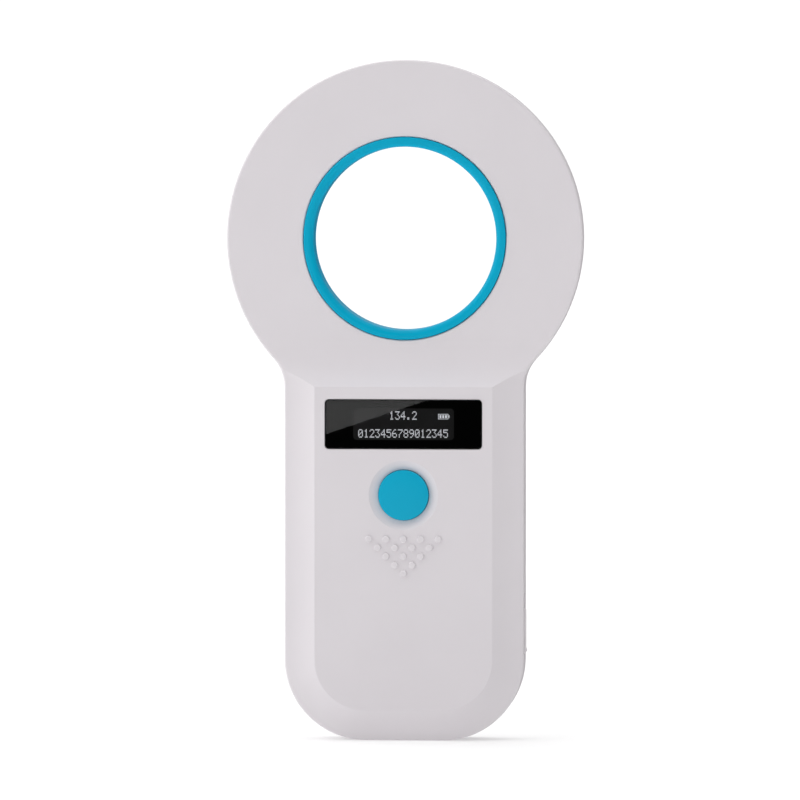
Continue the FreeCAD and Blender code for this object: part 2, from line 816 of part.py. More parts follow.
add("board_resistors", *[
    front_block_part(resistor_x + resistor_pitch * i, resistor_z, 1.2, 2.0, 0.5)
    for i in range(resistors)])


def sounder():
    """Square sounder with a sound port in its rear face."""
    top = board_rear_y + sounder_height
    block = rear_block_part(sounder_x, sounder_z, sounder_side, sounder_side, sounder_height)
    block = block.makeFillet(sounder_edge, edges_where(block, lambda e: at_depth(e, top)))
    return block.cut(peg(sounder_x, sounder_z, sounder_port_radius, top - sounder_port_depth, top))


add("sounder", sounder())


# ---------------------------------------------------------------- display
def display_lens():
    lens = rounded_plate(lens_width, lens_height, lens_corner, 0, lens_z, lens_y, mask_y)
    return lens.makeChamfer(lens_chamfer, edges_where(lens, lambda e: at_depth(e, lens_y)))


def lens_mask():
    mask = rounded_plate(lens_width, lens_height, lens_corner, 0, lens_z, mask_y, glass_y)
    return mask.cut(rounded_plate(window_width, window_height, window_corner, 0, lens_z, mask_y, glass_y))


def display_carrier():
    """Open frame that holds the display glass off the board."""
    width, height = glass_width + 2 * carrier_margin, glass_height + 2 * carrier_margin
    outer = rounded_plate(width, height, board_corner, 0, lens_z, carrier_y, board_y)
    return outer.cut(box(-width / 2 + carrier_wall, width / 2 - carrier_wall, carrier_y, board_y,
                         lens_z - height / 2 + carrier_wall, lens_z + height / 2 - carrier_wall))


ribbon_y = glass_y + glass_thickness / 2
ribbon_top = lens_z - glass_height / 2
ribbon_turn = ribbon_top - ribbon_drop
ribbon_socket_top = ribbon_turn - ribbon_tail


def display_ribbon():
    """Flat flexible tail from the display glass, back and down into its socket on the board."""
    end_y = board_y - ribbon_socket_thickness / 2
    points = [
        Vector(0, ribbon_y, ribbon_top),
        Vector(0, ribbon_y, ribbon_turn),
        Vector(0, end_y, ribbon_turn),
        Vector(0, end_y, ribbon_socket_top),
    ]
    half, thick = ribbon_width / 2, ribbon_thickness / 2
    sides = ((-half, -thick), (half, -thick), (half, thick), (-half, thick))
    corners = [Vector(x, ribbon_y + y, ribbon_top) for x, y in sides]
    section = Part.makePolygon(corners + corners[:1])
    return bent_path(points, ribbon_bend).makePipeShell([section], True, False)


add("display_lens", display_lens())
add("lens_mask", lens_mask())
add("display_glass", box(-glass_width / 2, glass_width / 2, glass_y, carrier_y,
                         lens_z - glass_height / 2, lens_z + glass_height / 2))
add("display_carrier", display_carrier())
add("display_ribbon", display_ribbon())
add("ribbon_socket", front_block_part(0, ribbon_socket_top - ribbon_socket_height / 2, ribbon_width + 2,
                                      ribbon_socket_height, ribbon_socket_thickness))


# ---------------------------------------------------------------- scan button and its switch
def scan_button():
    """Domed cap with a flange behind the front wall and a stem that meets the switch."""
    crown_y = -rear_y
    ball = (button_radius ** 2 + button_crown ** 2) / (2 * button_crown)
    cap = peg(0, button_z, button_radius, crown_y, flange_y)
    cap = cap.common(Part.makeSphere(ball, Vector(0, crown_y + ball, button_z)))
    rim = edges_where(cap, lambda e: at_depth(e, crown_y + button_crown))
    cap = cap.makeFillet(button_edge_radius, rim)
    flange = peg(0, button_z, button_radius + flange_reach, flange_y, flange_y + flange_thickness)
    stem = peg(0, button_z, stem_radius, flange_y, plunger_y - stem_gap)
    return join([cap, flange, stem])


def switch_housing():
    half = switch_side / 2
    body = box(-half, half, switch_y, board_y, button_z - half, button_z + half)
    return body.cut(peg(0, button_z, switch_bore_radius, switch_y, switch_y + switch_bore_depth))


def switch_cover():
    half = switch_side / 2
    plate = box(-half, half, switch_top_y, switch_y, button_z - half, button_z + half)
    return plate.cut(peg(0, button_z, plunger_radius + plunger_gap, switch_top_y, switch_y))


def switch_plunger():
    shoulder = switch_y + plunger_gap
    stem = peg(0, button_z, plunger_radius, plunger_y, shoulder)
    flange = peg(0, button_z, plunger_flange_radius, shoulder, shoulder + plunger_flange_thickness)
    return join([stem, flange])


def switch_dome():
    """Snap dome on the floor of the switch's bore."""
    floor = switch_y + switch_bore_depth
    return turned([(0, floor - dome_rise - dome_thickness), (dome_radius, floor - dome_thickness),
                   (dome_radius, floor), (0, floor - dome_rise)], 0, button_z)


add("scan_button", scan_button())
add("switch_housing", switch_housing())
add("switch_cover", switch_cover())
add("switch_plunger", switch_plunger())
add("switch_dome", switch_dome())


# ---------------------------------------------------------------- charging port
def charging_socket():
    """Drawn steel shell, open towards the side and closed at its inner end."""
    y0, y1 = port_y - socket_depth / 2, port_y + socket_depth / 2
    z0, z1 = port_height - socket_width / 2, port_height + socket_width / 2
    outer = box(mouth_x - socket_length, mouth_x, y0, y1, z0, z1)
    long_front = edges_where(outer, lambda e: e.BoundBox.XLength > socket_length / 2 and at_depth(e, y0)
                             and e.BoundBox.ZLength < socket_skin)
    outer = outer.makeFillet(socket_corner, long_front)
    skin = socket_skin
    back = mouth_x - socket_length + skin
    return outer.cut(box(back, mouth_x, y0 + skin, y1 - skin, z0 + skin, z1 - skin))


def socket_tongue():
    """Plastic block at the back of the socket with a thin contact tongue."""
    back = mouth_x - socket_length + socket_skin
    inner_y, inner_z = socket_depth / 2 - socket_skin, socket_width / 2 - socket_skin
    block = box(back, back + tongue_block, port_y - inner_y, port_y + inner_y,
                port_height - inner_z, port_height + inner_z)
    half, reach = tongue_thickness / 2, inner_z - tongue_inset
    tongue = box(back, mouth_x - stopper_length - tongue_setback, port_y - half, port_y + half,
                 port_height - reach, port_height + reach)
    return join([block, tongue])


def port_cover():
    """Soft cover: a round-cornered pad, a stopper that enters the socket, a pull ridge and half the strap."""
    back, face = strap_back_x, half_width + cover_proud
    pad = rounded_side_plate(cover_depth, cover_width, cover_corner, port_y, port_height, back, face)
    pad_edges = edges_where(pad, lambda e: e.BoundBox.XMin > face - 1e-3)
    pad = pad.makeFillet(pad_edge_share * cover_proud, pad_edges)
    room_y = socket_depth / 2 - socket_skin - stopper_gap / 2
    room_z = socket_width / 2 - socket_skin - stopper_gap
    stopper = box(recess_x - stopper_length, back, port_y - room_y, port_y + room_y,
                  port_height - room_z, port_height + room_z)
    half, ridge = strap_width / 2, face + tab_height
    low = port_height - cover_width / 2 + tab_width / 2
    tab = box(back, ridge, port_y - half, port_y + half, low, low + tab_width)
    tab_edges = edges_where(tab, lambda e: e.BoundBox.XMin > ridge - 1e-3)
    tab = tab.makeFillet(tab_edge_share * tab_width, tab_edges)
    strap = box(back, back + strap_thickness, port_y - half, port_y + half, port_height, hinge_z)
    centre = Vector(hinge_x, port_y - half, hinge_z)
    knuckle = Part.makeCylinder(strap_thickness / 2, strap_width, centre, Y)
    return join([pad, stopper, tab, strap, knuckle])


def cover_anchor():
    """Fixed end of the strap, with a barbed pin through the shell's wall."""
    half, inside = strap_width / 2, inner_half_width - barb_length
    strap = box(strap_back_x, strap_back_x + strap_thickness, port_y - half, port_y + half,
                hinge_z + strap_thickness / 2 + hinge_gap, cover_top_z + strap_length)
    pin = rod(anchor_radius, inside, strap_back_x, port_y, anchor_z)
    barb = rod(barb_radius, inside, inner_half_width, port_y, anchor_z)
    return join([strap, pin, barb])


add("charging_socket", charging_socket())
add("socket_tongue", socket_tongue())
add("port_cover", port_cover())
add("cover_anchor", cover_anchor())


# ---------------------------------------------------------------- battery
def battery_cell():
    cell = box(-cell_width / 2, cell_width / 2, cell_y, inner_rear_y - pad_thickness, cell_bottom, cell_top)
    sides = edges_where(cell, lambda e: e.BoundBox.ZLength > cell_length - 1e-3)
    return cell.makeFillet(min(cell_edge_radius, 0.45 * cell_thickness), sides)


def plug_and_socket(x, z, way):
    """A plug in the side of its socket that faces up (way 1) or down (way -1): (plug, socket)."""
    half, gap = plug_width / 2 - plug_side_wall, plug_gap
    low, high = board_rear_y + plug_side_wall, board_rear_y + plug_thickness - plug_roof
    reach = plug_height / 2

    def block(inset, near, far):
        z0, z1 = sorted((z + way * near, z + way * far))
        return box(x - half + inset, x + half - inset, low + inset, high - inset, z0, z1)

    socket = rear_block_part(x, z, plug_width, plug_height, plug_thickness).cut(block(0, 0, reach))
    return block(gap, gap, reach + plug_stands_out), socket


def battery_lead(offset):
    """From the cell's top edge up to the plug."""
    x, plug_low = battery_lead_x + offset, battery_plug_z - plug_height / 2 - plug_stands_out
    exit_y = cell_y + cell_thickness / 2
    return lead([(x, exit_y, cell_top), (x, exit_y, cell_top + lead_straight),
                 (x, plug_mid_y, plug_low - lead_straight), (x, plug_mid_y, plug_low)], lead_bend)


def antenna_lead(offset):
    """From the plug up between the bobbin's flanges to the winding."""
    x, plug_high = antenna_plug_x + offset, antenna_plug_z + plug_height / 2 + plug_stands_out
    end_z = head_centre_z - math.sqrt((coil_outer + coil_tape) ** 2 - x ** 2) - lead_end_gap
    middle = winding_y + coil_length / 2
    return lead([(x, plug_mid_y, plug_high), (x, plug_mid_y, plug_high + lead_straight),
                 (x, middle, end_z - lead_straight), (x, middle, end_z)], lead_bend)


plug_mid_y = board_rear_y + (plug_side_wall + plug_thickness - plug_roof) / 2
battery_plug, battery_socket = plug_and_socket(battery_lead_x, battery_plug_z, -1)
antenna_plug, antenna_socket = plug_and_socket(antenna_plug_x, antenna_plug_z, 1)


def battery_pad():
    inset = pad_inset
    return box(-cell_width / 2 + inset, cell_width / 2 - inset, inner_rear_y - pad_thickness, inner_rear_y,
               cell_bottom + inset, cell_top - inset)


add("battery_cell", battery_cell())
add("battery_pad", battery_pad())
add("battery_plug", battery_plug)
add("battery_socket", battery_socket)
add("battery_lead_positive", battery_lead(lead_spacing / 2))
add("battery_lead_negative", battery_lead(-lead_spacing / 2))
add("antenna_plug", antenna_plug)
add("antenna_socket", antenna_socket)
add("antenna_leads", antenna_lead(-lead_spacing / 2), antenna_lead(lead_spacing / 2))
label_back = rear_y - label_recess
add("rear_label", rounded_plate(
    label_width - 2 * label_gap, label_height - 2 * label_gap, label_corner - label_gap,
    0, label_z, label_back, label_back + label_thickness))

# ---------------------------------------------------------------- export
os.makedirs("parts", exist_ok=True)
for name, shape in parts.items():
    print(name, shape.isValid(), len(shape.Solids), round(shape.Volume, 1))
    shape.exportStep(f"parts/{name}.step")
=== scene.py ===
"""Hand-held pet microchip reader, standing on a pale table."""

import json
import math

import bpy
import numpy as np
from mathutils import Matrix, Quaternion, Vector


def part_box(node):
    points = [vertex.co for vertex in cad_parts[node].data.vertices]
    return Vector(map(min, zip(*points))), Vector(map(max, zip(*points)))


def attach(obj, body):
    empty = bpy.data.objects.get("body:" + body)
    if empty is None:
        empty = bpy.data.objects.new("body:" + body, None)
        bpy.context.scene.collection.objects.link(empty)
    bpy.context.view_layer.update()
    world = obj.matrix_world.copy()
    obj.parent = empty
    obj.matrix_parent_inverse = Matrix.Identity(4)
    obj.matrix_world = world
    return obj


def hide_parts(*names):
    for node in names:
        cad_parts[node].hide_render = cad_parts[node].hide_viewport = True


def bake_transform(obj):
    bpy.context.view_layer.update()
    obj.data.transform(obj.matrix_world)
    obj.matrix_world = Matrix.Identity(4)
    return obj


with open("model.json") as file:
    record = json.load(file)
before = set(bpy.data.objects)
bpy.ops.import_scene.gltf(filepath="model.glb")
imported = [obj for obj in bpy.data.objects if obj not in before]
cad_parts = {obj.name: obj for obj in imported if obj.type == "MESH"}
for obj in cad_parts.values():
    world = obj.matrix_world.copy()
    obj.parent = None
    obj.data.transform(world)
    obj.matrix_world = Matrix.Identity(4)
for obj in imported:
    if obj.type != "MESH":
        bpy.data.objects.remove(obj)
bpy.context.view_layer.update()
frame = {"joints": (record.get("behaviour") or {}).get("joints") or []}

scene = bpy.context.scene

# ---------------------------------------------------------------- the table and the studio
# The reader stands on pale card inside a light tent, brightest overhead and on the left, and open and
# dark where the camera stands. A small soft box near its left side adds a gentle fall-off, and a card in
# front gives the polished lens its pale corner.
VIEW_AZIMUTH, VIEW_ELEVATION = math.radians(4.0), math.radians(2.4)
VIEW_DISTANCE = 2.0
VIEW_WIDTH = 0.1978            # width of the view at the reader
AIM = Vector((-0.0013, 0.0, 0.0840))

towards_camera = Vector((
    math.sin(VIEW_AZIMUTH) * math.cos(VIEW_ELEVATION),
    -math.cos(VIEW_AZIMUTH) * math.cos(VIEW_ELEVATION),
    math.sin(VIEW_ELEVATION),
))
camera_data = bpy.data.cameras.new("camera")
camera_data.sensor_width = 36.0
camera_data.lens = camera_data.sensor_width * VIEW_DISTANCE / VIEW_WIDTH
camera = bpy.data.objects.new("camera", camera_data)
camera.location = AIM + towards_camera * VIEW_DISTANCE
camera.rotation_mode = "QUATERNION"
camera.rotation_quaternion = (-towards_camera).to_track_quat("-Z", "Y")
scene.collection.objects.link(camera)
scene.camera = camera
scene.view_settings.view_transform = "Standard"


def soft_box(name, place, facing, width, height, power, turn=0.0, through_lens=True):
    """A rectangular area light that faces along a direction, turned about it by an angle."""
    data = bpy.data.lights.new(name, "AREA")
    data.shape = "RECTANGLE"
    data.size, data.size_y = width, height
    data.energy = power
    light = bpy.data.objects.new(name, data)
    light.location = place
    light.rotation_mode = "QUATERNION"
    light.rotation_quaternion = Vector(facing).to_track_quat("-Z", "Y") @ Quaternion((0, 0, 1), turn)
    light.visible_camera = False
    light.visible_transmission = through_lens
    scene.collection.objects.link(light)


KEY_PLACE, KEY_AIM = Vector((-0.24, -0.22, 0.05)), Vector((0, 0, 0.07))
KEY_SIDE, KEY_POWER = 0.2, 0.09
CARD_PLACE = (-0.1044, -1.0, 0.112)
CARD_WIDTH, CARD_HEIGHT, CARD_POWER = 0.30, 0.16, 0.16
CARD_TURN = math.radians(18.6)
soft_box("key_light", KEY_PLACE, KEY_AIM - KEY_PLACE, KEY_SIDE, KEY_SIDE, KEY_POWER)
soft_box("glare_card", CARD_PLACE, (0, 1, 0), CARD_WIDTH, CARD_HEIGHT, CARD_POWER, CARD_TURN,
         through_lens=False)


class Shade:
    """One socket of a node tree. Arithmetic on it adds Math nodes, and node() adds any other node."""

    def __init__(self, tree, socket=None):
        self.tree = tree
        self.socket = socket

    def node(self, kind, settings=None, out=0, **sockets):
        """Adds a node with its settings and its sockets' values or links (i0, i1 by number)."""
        made = self.tree.nodes.new(kind)
        for key, value in (settings or {}).items():
            setattr(made, key, value)
        for key, value in sockets.items():
            numbered = key[0] == "i" and key[1:].isdigit()
            socket = made.inputs[int(key[1:]) if numbered else key.replace("_", " ")]
            if isinstance(value, Shade):
                self.tree.links.new(value.socket, socket)
            else:
                socket.default_value = value
        return Shade(self.tree, made.outputs[out])

    def math(self, operation, first, second=0.0):
        return self.node("ShaderNodeMath", {"operation": operation}, i0=first, i1=second)

    def __add__(self, other):
        return self.math("ADD", self, other)

    def __radd__(self, other):
        return self.math("ADD", other, self)

    def __sub__(self, other):
        return self.math("SUBTRACT", self, other)

    def __rsub__(self, other):
        return self.math("SUBTRACT", other, self)

    def __mul__(self, other):
        return self.math("MULTIPLY", self, other)

    def __rmul__(self, other):
        return self.math("MULTIPLY", other, self)

    def __gt__(self, other):
        return self.math("GREATER_THAN", self, other)

    def __lt__(self, other):
        return self.math("LESS_THAN", self, other)

    def __abs__(self):
        return self.math("ABSOLUTE", self)

    def at_least(self, low):
        return self.math("MAXIMUM", self, low)

    def ramp(self, start, end):
        """Rises smoothly from 0 to 1 as this value goes from start to end."""
        return self.node("ShaderNodeMapRange", {"interpolation_type": "SMOOTHSTEP"},
                         i0=self, i1=start, i2=end, i3=0.0, i4=1.0)

    def axes(self):
        """The X, Y and Z of a position."""
        split = self.node("ShaderNodeSeparateXYZ", None, 0, Vector=self).socket.node
        return [Shade(self.tree, split.outputs[i]) for i in range(3)]

    def stretched(self, x, y, z):
        """This position, scaled along each axis."""
        return self.node("ShaderNodeVectorMath", {"operation": "MULTIPLY"}, i0=self, i1=(x, y, z))

    def noise(self, size, detail=2.0):
        """Noise with features of a size in metres, over this position, from 0 to 1."""
        return self.node("ShaderNodeTexNoise", None, 0, Vector=self, Scale=1.0 / size, Detail=detail)

    def cells(self, size):
        """Distance to the nearest of scattered points that lie about a size apart, in shares of that size."""
        return self.node("ShaderNodeTexVoronoi", None, 0, Vector=self, Scale=1.0 / size)

    def between(self, low, high):
        """Runs from the low colour at 0 to the high colour at 1."""
        return self.node("ShaderNodeMix", {"data_type": "RGBA"}, 2, i0=self, i6=low, i7=high)

    def spread(self, low, high):
        """Runs from the low number at 0 to the high number at 1."""
        return self * (high - low) + low

    def bump(self, height, strength=1.0):
        """A normal from this height, which is 0 to 1 for so many metres."""
        return self.node("ShaderNodeBump", None, 0, Height=self, Distance=height, Strength=strength)


def material(name, **constants):
    """A new material: its Principled shader with the given constants, and its position on the object."""
    made = bpy.data.materials.new(name)
    made.use_nodes = True
    tree = made.node_tree
    shader = tree.nodes["Principled BSDF"]
    for key, value in constants.items():
        shader.inputs[key.replace("_", " ")].default_value = value
    place = Shade(tree).node("ShaderNodeTexCoord", None, "Object")
    return made, shader, place


def feed(shader, **sockets):
    """Links what varies over the surface to the shader's own sockets."""
    for key, value in sockets.items():
        value.tree.links.new(value.socket, shader.inputs[key.replace("_", " ")])


def shade_of(red, green, blue):
    """A colour for a shader's socket, from display values of 0 to 255."""
    values = [v / 255 for v in (red, green, blue)]
    linear = [v / 12.92 if v <= 0.04045 else ((v + 0.055) / 1.055) ** 2.4 for v in values]
    return (*linear, 1.0)


def table_card():
    """Pale card, a little uneven, that reads as plain white under the tent's light."""
    made, shader, place = material(
        "table_card", Roughness=0.9, Specular_IOR_Level=0.1,
        Emission_Color=(1, 1, 1, 1), Emission_Strength=0.32)
    tone = place.noise(0.08)
    feed(shader, Base_Color=tone.between(shade_of(214, 214, 214), shade_of(218, 218, 218)))
    return made


FLOOR_REACH = 30.0             # from the middle to each edge
floor_corners = [(x * FLOOR_REACH, y * FLOOR_REACH, 0.0) for x, y in ((-1, -1), (1, -1), (1, 1), (-1, 1))]
floor_mesh = bpy.data.meshes.new("table")
floor_mesh.from_pydata(floor_corners, [], [(0, 1, 2, 3)])
floor_mesh.materials.append(table_card())
floor = bpy.data.objects.new("table", floor_mesh)
floor.visible_glossy = False   # polished parts mirror the tent's dark opening, not the card
floor.visible_transmission = False
scene.collection.objects.link(floor)

TENT_SIDES = 0.63              # strength of the tent's walls
TENT_TOP = 1.15                # added towards straight up
TENT_LEFT = 0.6                # added towards the left and taken from the right
TENT_BACK = 0.5                # taken from the wall behind the reader
TENT_LEAST = 0.04              # strength below which no wall falls
TENT_OPENING = (0.34, 0.9)     # cosine of the angle off the opening's axis: from the white wall to the dark
OPENING_DARKNESS = 0.97        # share of the light that is missing in the opening
BACKDROP = 1.1                 # strength of the white behind the reader, as the camera sees it

world = bpy.data.worlds.new("studio")
scene.world = world
world.use_nodes = True
world.node_tree.nodes.clear()
sky = Shade(world.node_tree)
across, depth, height = sky.node("ShaderNodeTexCoord", None, "Generated").axes()
opening = (0.0 - depth).ramp(*TENT_OPENING)
wall = TENT_SIDES + height.at_least(0.0) * TENT_TOP - across * TENT_LEFT - depth.at_least(0.0) * TENT_BACK
tent_strength = (1.0 - opening * OPENING_DARKNESS) * wall.at_least(TENT_LEAST)
tent = sky.node("ShaderNodeBackground", None, 0, Color=(1, 1, 1, 1), Strength=tent_strength)
backdrop = sky.node("ShaderNodeBackground", None, 0, Color=(1, 1, 1, 1), Strength=BACKDROP)
seen = sky.node("ShaderNodeLightPath", None, "Is Camera Ray")
shown = sky.node("ShaderNodeMixShader", None, 0, i0=seen, i1=tent, i2=backdrop)
world_output = world.node_tree.nodes.new("ShaderNodeOutputWorld")
world.node_tree.links.new(shown.socket, world_output.inputs["Surface"])

# ---------------------------------------------------------------- shells
# Two injection-moulded halves in warm white plastic with a fine spark-eroded texture. They meet in a
# tongue and groove at the parting line, and six screws close them from behind.
SHELL_WHITE = shade_of(233, 228, 232)
SHELL_WHITE_DARK = shade_of(228, 223, 227)


def shell_plastic():
    """Satin white plastic: a fine eroded grain, faint clouding, and gloss that wanders a little."""
    made, shader, place = material("shell_plastic", IOR=1.49, Specular_IOR_Level=0.4)
    cloud = place.noise(0.018, 3.0)
    grain = place.noise(0.00022)
    pores = place.noise(0.0009, 1.0)
    feed(shader,
         Base_Color=cloud.between(SHELL_WHITE_DARK, SHELL_WHITE),
         Roughness=(cloud * 0.5 + pores * 0.5).spread(0.36, 0.48),
         Normal=(grain * 0.8 + pores * 0.2).bump(0.000012, 0.6))
    return made


def wear(node, finish):
    """Gives a carried-over piece its finish."""
    for slot in bpy.data.objects[node].material_slots:
        slot.material = finish


plastic = shell_plastic()
wear("front_shell", plastic)
wear("rear_shell", plastic)

# ---------------------------------------------------------------- antenna
# A bobbin of black glass-filled plastic holds 170 turns of enamelled copper wire under a wrap of amber
# tape. A foam ring behind it takes up play, and two thin leads bring it to a plug on the board.
winding_low, winding_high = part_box("antenna_winding")
ring_centre = (winding_low + winding_high) / 2
WINDING_BUILD = 0.0052         # thickness of the winding, from its inner turns to its outer ones
WINDING_INNER, WINDING_OUTER = winding_high.x - WINDING_BUILD, winding_high.x
WIRE_TURNS_WIDE = 10           # turns side by side across the bobbin
WIRE_TURNS_DEEP = 17
WIRE_GROOVE = 0.32             # depth of the groove between two turns, as a share of a turn's width
POINTS_PER_TURN = 8            # points across each turn of wire
WINDING_STEPS = 180            # points round the bundle


def one_colour(name, dark, light, rough, cloud, grain, grain_height, **constants):
    """Material in one colour: tone and gloss wander over clouds, and a fine grain roughens it."""
    made, shader, place = material(name, **constants)
    clouds, fine = place.noise(cloud, 3.0), place.noise(grain)
    feed(shader,
         Base_Color=clouds.between(dark, light),
         Roughness=(clouds * 0.5 + fine * 0.5).spread(*rough),
         Normal=fine.bump(grain_height, 0.6))
    return made


def enamelled_copper():
    """Copper under clear enamel: tone wanders along the wire in long narrow streaks."""
    made, shader, place = material("enamelled_copper", Metallic=1.0, Coat_Weight=0.5, Coat_Roughness=0.15)
    streaks = place.stretched(1.0, 12.0, 1.0).noise(0.004, 3.0)
    feed(shader,
         Base_Color=streaks.between(shade_of(150, 74, 40), shade_of(205, 112, 66)),
         Roughness=streaks.spread(0.28, 0.4))
    return made


def foam_skin(name, dark, light, pore):
    """Closed-cell foam: rounded cells with thin walls; its colour is darker in each cell's hollow and lighter
    on the walls, a painted shade in the pores.
    """
    made, shader, place = material(name, Specular_IOR_Level=0.2)
    wall = place.cells(pore)
    # painted shade: the dark colour sits in each cell's hollow, where the bump dips, and the light colour on
    # the raised walls
    feed(shader,
         Base_Color=wall.between(dark, light),
         Roughness=wall.spread(0.85, 0.95),
         Normal=wall.bump(pore * 0.3, 0.8))
    return made


def wound_turns(count, inside, outside):
    """Round wires side by side: the groove is depth * (1 - |sin(pi * s)|) deep, for s counted in turns."""
    steps = np.linspace(0.0, count, count * POINTS_PER_TURN + 1)[:-1]
    width = (outside - inside) / count
    return inside + steps * width, WIRE_GROOVE * width * (1.0 - np.abs(np.sin(math.pi * steps)))


def winding_surface():
    """The bundle's grooved rectangular section, turned about the head's axis: x = r sin(a), z = r cos(a)."""
    front, back = winding_low.y, winding_high.y
    y_run, y_groove = wound_turns(WIRE_TURNS_WIDE, front, back)
    r_run, r_groove = wound_turns(WIRE_TURNS_DEEP, WINDING_INNER, WINDING_OUTER)
    radius = np.concatenate([WINDING_OUTER - y_groove, r_run[::-1], np.full(2, WINDING_INNER), r_run])
    depth_run = np.concatenate([
        y_run, back - r_groove[::-1], np.linspace(back, front, 4)[1:3], front + r_groove])
    angles = np.linspace(0.0, 2 * math.pi, WINDING_STEPS, endpoint=False)
    return np.stack([
        ring_centre.x + radius[None, :] * np.sin(angles)[:, None],
        np.broadcast_to(depth_run, (WINDING_STEPS, len(radius))),
        ring_centre.z + radius[None, :] * np.cos(angles)[:, None],
    ], axis=-1)


def rolled(points):
    """A closed surface from a grid whose rows and columns both close on themselves: points and faces."""
    rows, columns = points.shape[:2]
    index = np.arange(rows * columns).reshape(rows, columns)
    right, down = np.roll(index, -1, axis=1), np.roll(index, -1, axis=0)
    both = np.roll(right, -1, axis=0)
    return points.reshape(-1, 3), np.stack([index, right, both, down], axis=-1).reshape(-1, 4)


def new_piece(name, points, faces, finish, slot_name, smooth=True):
    """A mesh object from arrays of points and faces, its faces turned outwards."""
    mesh = bpy.data.meshes.new(name)
    mesh.from_pydata(points.tolist(), [], faces.tolist())
    corners = points[faces]
    volume = np.einsum("ij,ij->i", corners[:, 0], np.cross(corners[:, 1], corners[:, 2])).sum()
    volume += np.einsum("ij,ij->i", corners[:, 0], np.cross(corners[:, 2], corners[:, 3])).sum()
    if volume < 0:
        mesh.flip_normals()
    mesh.materials.append(finish)
    mesh.polygons.foreach_set("use_smooth", [smooth] * len(mesh.polygons))
    piece = bpy.data.objects.new(name, mesh)
    scene.collection.objects.link(piece)
    return piece


antenna_turns = new_piece(
    "antenna_turns", *rolled(winding_surface()), enamelled_copper(), "copper_wire")
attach(antenna_turns, "housing")
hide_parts("antenna_winding")

black_nylon = one_colour(
    "black_nylon", shade_of(24, 24, 26), shade_of(38, 38, 41), (0.42, 0.6), 0.006, 0.0002, 0.00001)
amber_film = one_colour(
    "amber_film", shade_of(176, 108, 22), shade_of(205, 134, 38), (0.14, 0.3), 0.004, 0.0006, 0.00002,
    Coat_Weight=0.4)
black_foam = foam_skin("black_foam", shade_of(38, 38, 40), shade_of(66, 66, 68), 0.0005)
ivory_nylon = one_colour(
    "ivory_nylon", shade_of(214, 204, 178), shade_of(228, 220, 196), (0.4, 0.55), 0.003, 0.0003, 0.000008)
red_sleeve = one_colour(
    "red_sleeve", shade_of(158, 22, 24), shade_of(190, 34, 32), (0.3, 0.45), 0.0015, 0.0002, 0.000006)
wear("antenna_former", black_nylon)
wear("winding_tape", amber_film)
wear("antenna_foam", black_foam)
wear("antenna_plug", ivory_nylon)
wear("antenna_socket", ivory_nylon)
wear("antenna_leads", red_sleeve)

# ---------------------------------------------------------------- circuit board
# Green fibreglass board with copper under its solder mask, held by four screws. It carries the processor,
# the reader and charger chips, and their small parts; the sounder is on its rear face.
board_low, board_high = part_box("main_board")
BOARD_SKIN = 0.00005           # thickness of the mask on each face
CHIP_LEG_REACH = 0.0011
CHIP_BODY_SPARE = 0.0001       # the chip's own colour runs this far past its body, up and down
END_CAP = 0.00055              # tinned length at each end of a small part
TRACK_PITCH = 0.0007           # from one copper track to the next
TRACK_HALF_WIDTH = 0.2         # of the pitch
TRACK_BLOCK = 0.0028           # side of the squares in which tracks keep to one direction


def lanes(run):
    """1 on evenly spaced tracks, counted along one axis."""
    return abs(run.math("FRACT", run * (1.0 / TRACK_PITCH)) - 0.5) < TRACK_HALF_WIDTH


def board_mask():
    """Solder mask: right-angled tracks show lighter, with round tinned holes, and the cut edge is bare."""
    made, shader, place = material("board_mask", IOR=1.5)
    x, y, z = place.axes()
    flat = place.stretched(1.0, 0.0, 1.0)
    block = flat.node("ShaderNodeVectorMath", {"operation": "SNAP"}, i0=flat, i1=(TRACK_BLOCK,) * 3)
    pick = block.node("ShaderNodeTexWhiteNoise", None, 0, Vector=block)
    track = lanes(x) * (pick < 0.4) + lanes(z) * (pick > 0.6)
    hole = flat.cells(0.0031).ramp(0.13, 0.1)
    weave = flat.noise(0.0008, 1.0)
    masked = (track * 0.7 + weave * 0.3).between(shade_of(6, 74, 40), shade_of(34, 116, 66))
    cut = (y > board_low.y + BOARD_SKIN) * (y < board_high.y - BOARD_SKIN)
    feed(shader,
         Base_Color=cut.between(hole.between(masked, shade_of(200, 198, 190)), shade_of(150, 146, 96)),
         Metallic=hole * (1.0 - cut),
         Roughness=(weave * 0.5 + hole * 0.5).spread(0.22, 0.36),
         Normal=(track * 0.6 + hole * 0.4).bump(0.00003, 0.8))
    return made


def tinned_beyond(node, half_width, half_height, dark, light):
    """One colour inside a rectangle about the piece's middle, and bright tin beyond it."""
    low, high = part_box(node)
    middle = (low + high) / 2
    made, shader, place = material(node + "_finish", IOR=1.5)
    x, _, z = place.axes()
    tin = 1.0 - (abs(x - middle.x) < half_width) * (abs(z - middle.z) < half_height)
    cloud, grain = place.noise(0.002, 3.0), place.noise(0.00015)
    bright = cloud.between(shade_of(168, 170, 172), shade_of(206, 208, 208))
    feed(shader,
         Base_Color=tin.between(cloud.between(dark, light), bright),
         Metallic=tin,
         Roughness=(grain * 0.5 + cloud * 0.5).spread(0.34, 0.52),
         Normal=grain.bump(0.000008, 0.6))
    return made


def capped(node, dark, light):
    """A row of small upright parts: one colour in the middle of each, and tinned at both ends."""
    low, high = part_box(node)
    return tinned_beyond(node, high.x - low.x, (high.z - low.z) / 2 - END_CAP, dark, light)


